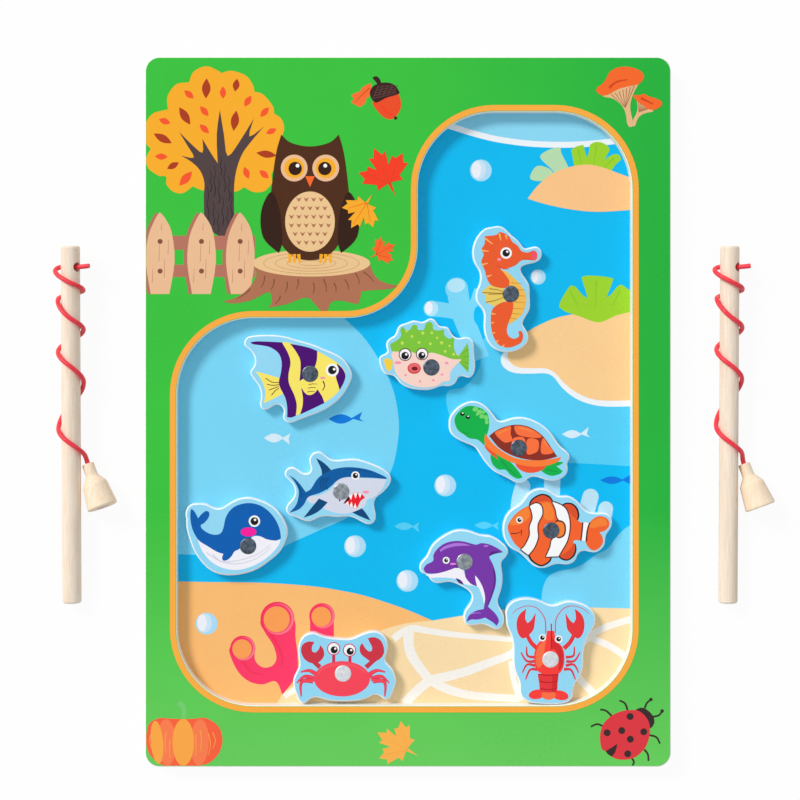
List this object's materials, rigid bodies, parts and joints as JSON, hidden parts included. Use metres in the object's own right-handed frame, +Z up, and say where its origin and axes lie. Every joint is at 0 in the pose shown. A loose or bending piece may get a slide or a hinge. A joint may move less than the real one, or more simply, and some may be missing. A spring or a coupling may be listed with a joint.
{
  "type": "magnetic fishing game",
  "caption": "Printed board with a sunk pond, loose sea creatures with steel discs, and dowel rods with a cord and a magnet lure.",
  "frame": {"origin": "centre of the base board's underside, on the table", "axes": "+Z up out of the board's printed face, +X to its right, +Y to its top, where the pond's narrow bay is"},
  "size_m": [0.3024, 0.297, 0.0145],
  "materials": {
    "pond_print": "gloss print on board",
    "frame_print": "gloss print on board",
    "steel_disc": "bright",
    "dowel": "bare sanded",
    "lure_wood": "bare turned",
    "cord": "woven, satin",
    "magnet": "nickel plated, dull",
    "lobster_print": "gloss print on board",
    "clownfish_print": "gloss print on board",
    "turtle_print": "gloss print on board",
    "seahorse_print": "gloss print on board",
    "pufferfish_print": "gloss print on board",
    "angelfish_print": "gloss print on board",
    "whale_print": "gloss print on board",
    "shark_print": "gloss print on board",
    "dolphin_print": "gloss print on board",
    "crab_print": "gloss print on board"
  },
  "bodies": {
    "root": {"base_board": "pond_print", "frame_board": "frame_print", "lobster": "lobster_print", "lobster_disc": "steel_disc", "clownfish": "clownfish_print", "clownfish_disc": "steel_disc", "turtle": "turtle_print", "turtle_disc": "steel_disc", "seahorse": "seahorse_print", "seahorse_disc": "steel_disc", "pufferfish": "pufferfish_print", "pufferfish_disc": "steel_disc", "angelfish": "angelfish_print", "angelfish_disc": "steel_disc", "whale": "whale_print", "whale_disc": "steel_disc", "shark": "shark_print", "shark_disc": "steel_disc", "dolphin": "dolphin_print", "dolphin_disc": "steel_disc", "crab": "crab_print", "crab_disc": "steel_disc", "left_rod": "dowel", "left_cord": "cord", "left_lure": "lure_wood", "left_magnet": "magnet", "left_knot": "cord", "right_rod": "dowel", "right_cord": "cord", "right_lure": "lure_wood", "right_magnet": "magnet", "right_knot": "cord"}
  },
  "joints": []
}
